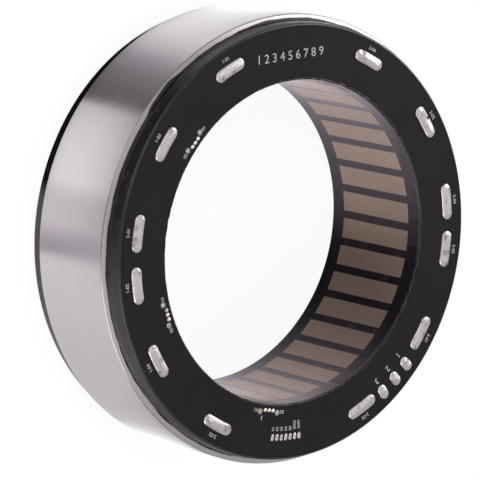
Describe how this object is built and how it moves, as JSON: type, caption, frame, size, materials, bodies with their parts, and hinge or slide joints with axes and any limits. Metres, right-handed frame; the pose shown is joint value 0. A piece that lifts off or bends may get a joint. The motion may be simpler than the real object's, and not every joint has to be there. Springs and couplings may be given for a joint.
{
  "type": "frameless motor stator",
  "caption": "Ring-shaped stator of a frameless motor: toothed steel core with a wide bore, black potted ends and a black ring board with soldered pads.",
  "frame": {"origin": "centre of the rear end face, on the motor's axis", "axes": "+Z along the motor's axis, from the rear end towards the circuit board; the slot over which the first hall sensor hangs lies 4.27 degrees anticlockwise from +X"},
  "size_m": [0.115, 0.115, 0.0362],
  "materials": {
    "steel": "ground",
    "insulator_plastic": "moulded",
    "copper_wire": "enamelled",
    "resin": "glossy cast",
    "board": "satin",
    "sensor_moulding": "moulded",
    "ceramic": "fired",
    "solder": "bright tinned"
  },
  "bodies": {
    "root": {"stator_core": "steel", "front_end_insulator": "insulator_plastic", "rear_end_insulator": "insulator_plastic", "phase_1_winding_a": "copper_wire", "phase_2_winding_a": "copper_wire", "phase_3_winding_a": "copper_wire", "phase_1_winding_b": "copper_wire", "phase_2_winding_b": "copper_wire", "phase_3_winding_b": "copper_wire", "potting": "resin", "circuit_board": "board", "hall_sensor_1": "sensor_moulding", "hall_sensor_2": "sensor_moulding", "hall_sensor_3": "sensor_moulding", "thermistor": "ceramic", "coil_solder_01": "solder", "coil_solder_02": "solder", "coil_solder_03": "solder", "coil_solder_04": "solder", "coil_solder_05": "solder", "coil_solder_06": "solder", "coil_solder_07": "solder", "coil_solder_08": "solder", "coil_solder_09": "solder", "coil_solder_10": "solder", "coil_solder_11": "solder", "coil_solder_12": "solder", "phase_solder_1": "solder", "phase_solder_2": "solder", "phase_solder_3": "solder", "signal_solder_1": "solder", "signal_solder_2": "solder", "signal_solder_3": "solder", "signal_solder_4": "solder", "signal_solder_5": "solder", "signal_solder_6": "solder", "signal_solder_7": "solder", "hall_1_solder_1": "solder", "hall_1_solder_2": "solder", "hall_1_solder_3": "solder", "hall_2_solder_1": "solder", "hall_2_solder_2": "solder", "hall_2_solder_3": "solder", "hall_3_solder_1": "solder", "hall_3_solder_2": "solder", "hall_3_solder_3": "solder"}
  },
  "joints": []
}
